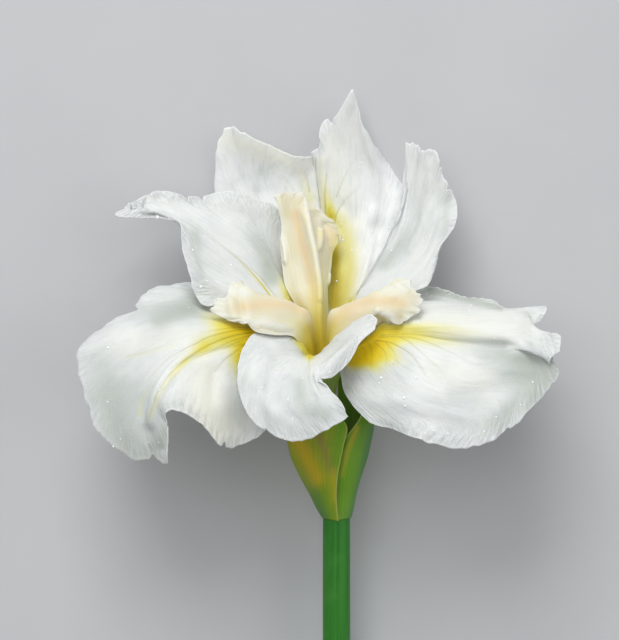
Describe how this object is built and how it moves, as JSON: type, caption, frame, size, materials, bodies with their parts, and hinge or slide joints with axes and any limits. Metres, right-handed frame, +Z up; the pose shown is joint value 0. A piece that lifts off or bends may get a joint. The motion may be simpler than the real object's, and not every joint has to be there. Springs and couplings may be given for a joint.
{
  "type": "siberian iris flower",
  "caption": "White flower with spreading drooping petals, upright petals, cream style arms and yellow signals, on a cut green stem with leafy bracts, lying on its back.",
  "frame": {"origin": "on the surface that the flower lies on, under the middle of its box", "axes": "+Y from the stem's cut end towards the petals, +Z up from the surface, out of the flower's face, +X to the right seen from above"},
  "size_m": [0.0964, 0.1576, 0.0382],
  "materials": {
    "petal": "soft moist white petal with fine veins and a yellow signal at the throat",
    "style": "soft cream petal-like tissue with a peach ridge",
    "stamen": "powdery cream",
    "tube": "smooth pale green",
    "spathe": "satin leafy green, yellowish at the front",
    "stem": "satin waxy green"
  },
  "bodies": {
    "root": {"stem": "stem", "perianth_tube": "tube", "spathe_left": "spathe", "spathe_right": "spathe", "fall_left": "petal", "fall_right": "petal", "fall_back": "petal", "standard_left": "petal", "standard_right": "petal", "standard_front": "petal", "style_arm_left": "style", "style_arm_right": "style", "style_arm_back": "style", "stamen_left": "stamen", "stamen_right": "stamen", "stamen_back": "stamen"}
  },
  "joints": []
}
